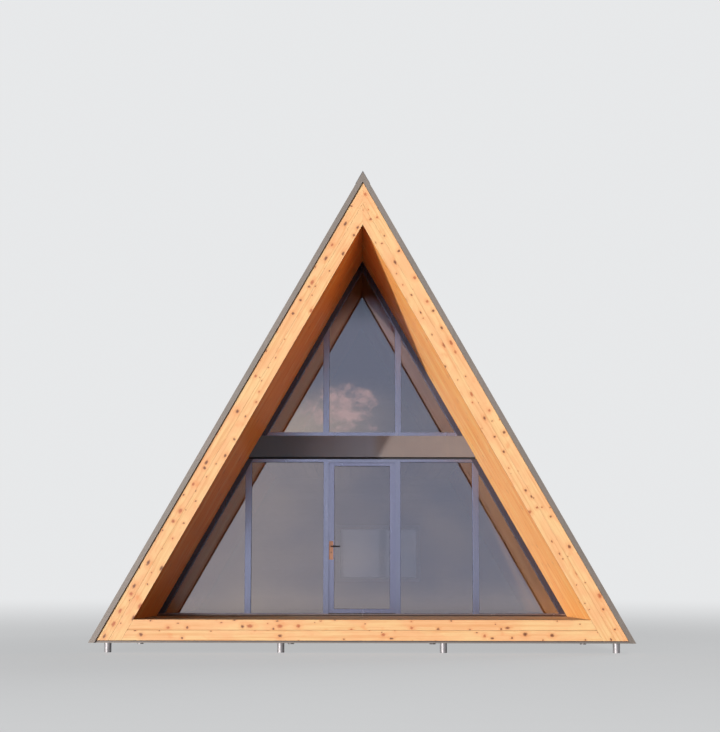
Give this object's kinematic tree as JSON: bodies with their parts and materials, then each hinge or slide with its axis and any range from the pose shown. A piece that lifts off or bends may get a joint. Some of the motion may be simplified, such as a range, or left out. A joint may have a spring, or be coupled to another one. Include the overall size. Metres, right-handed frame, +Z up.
{
  "type": "a-frame cabin",
  "caption": "Small timber A-frame cabin on steel piles, with a deep open porch, a glazed front with a hinged glass door, a loft floor and dark sheet roofs down to the base.",
  "frame": {"origin": "on the ground, in the middle of the cabin's plan", "axes": "+Z up, +Y from the glazed porch front to the rear wall, +X to the right as seen from the front"},
  "size_m": [6.8654, 7.8, 6.1749],
  "materials": {
    "pine_boards": "knotty pine boards, oiled",
    "pine_lining": "pine lining boards, oiled",
    "timber_core": "insulated timber panels and bearers",
    "deck_boards": "brown oiled deck boards",
    "floor_boards": "grey matt floor boards",
    "roof_metal": "dark grey coated sheet",
    "trim_metal": "grey coated edging",
    "zinc": "galvanised steel",
    "frame_metal": "lilac grey coated aluminium",
    "beam_metal": "dark satin cladding",
    "threshold_metal": "dark coated metal",
    "glass": "clear sealed units, slightly grey",
    "copper_plate": "brushed copper tone",
    "lever_metal": "black satin",
    "wall_boards": "boarded timber wall",
    "window_paint": "white coated frame"
  },
  "bodies": {
    "cabin": {"front_fascia": "pine_boards", "rear_fascia": "pine_boards", "verge_boards_left": "pine_boards", "verge_boards_right": "pine_boards", "lining_left": "pine_lining", "lining_right": "pine_lining", "floor_bearers": "timber_core", "floor_cassette": "timber_core", "roof_panel_left": "timber_core", "roof_panel_right": "timber_core", "loft_floor": "timber_core", "porch_deck": "deck_boards", "room_floor": "floor_boards", "roof_sheet_left": "roof_metal", "roof_sheet_right": "roof_metal", "ridge_cap": "roof_metal", "verge_trim_left": "trim_metal", "verge_trim_right": "trim_metal", "eaves_trims": "trim_metal", "base_rails": "trim_metal", "piles": "zinc", "slope_bars": "frame_metal", "mullions": "frame_metal", "glazing_rails": "frame_metal", "door_posts": "frame_metal", "door_lips": "frame_metal", "hinge_pins": "frame_metal", "front_beam": "beam_metal", "door_threshold": "threshold_metal", "lower_glass": "glass", "upper_glass": "glass", "window_glass": "glass", "rear_wall_sides": "wall_boards", "rear_wall_under": "wall_boards", "rear_wall_over": "wall_boards", "window_stiles": "window_paint", "window_rails": "window_paint"},
    "door": {"door_stiles": "frame_metal", "door_rails": "frame_metal", "door_glass": "glass", "hinge_knuckles": "frame_metal", "handle_plates": "copper_plate"},
    "lever": {"door_lever": "lever_metal"}
  },
  "joints": [
    {"name": "door_swing", "type": "hinge", "parent": "cabin", "child": "door", "pos_m": [0.481, -1.6, 1.5], "axis": [0, 0, -1], "range_deg": [0, 100]},
    {"name": "lever_turn", "type": "hinge", "parent": "door", "child": "lever", "pos_m": [-0.4385, -1.642, 1.399], "axis": [0, 1, 0], "range_deg": [0, 45], "stiffness_Nm_per_rad": 1.2, "springref_deg": -34.38}
  ]
}
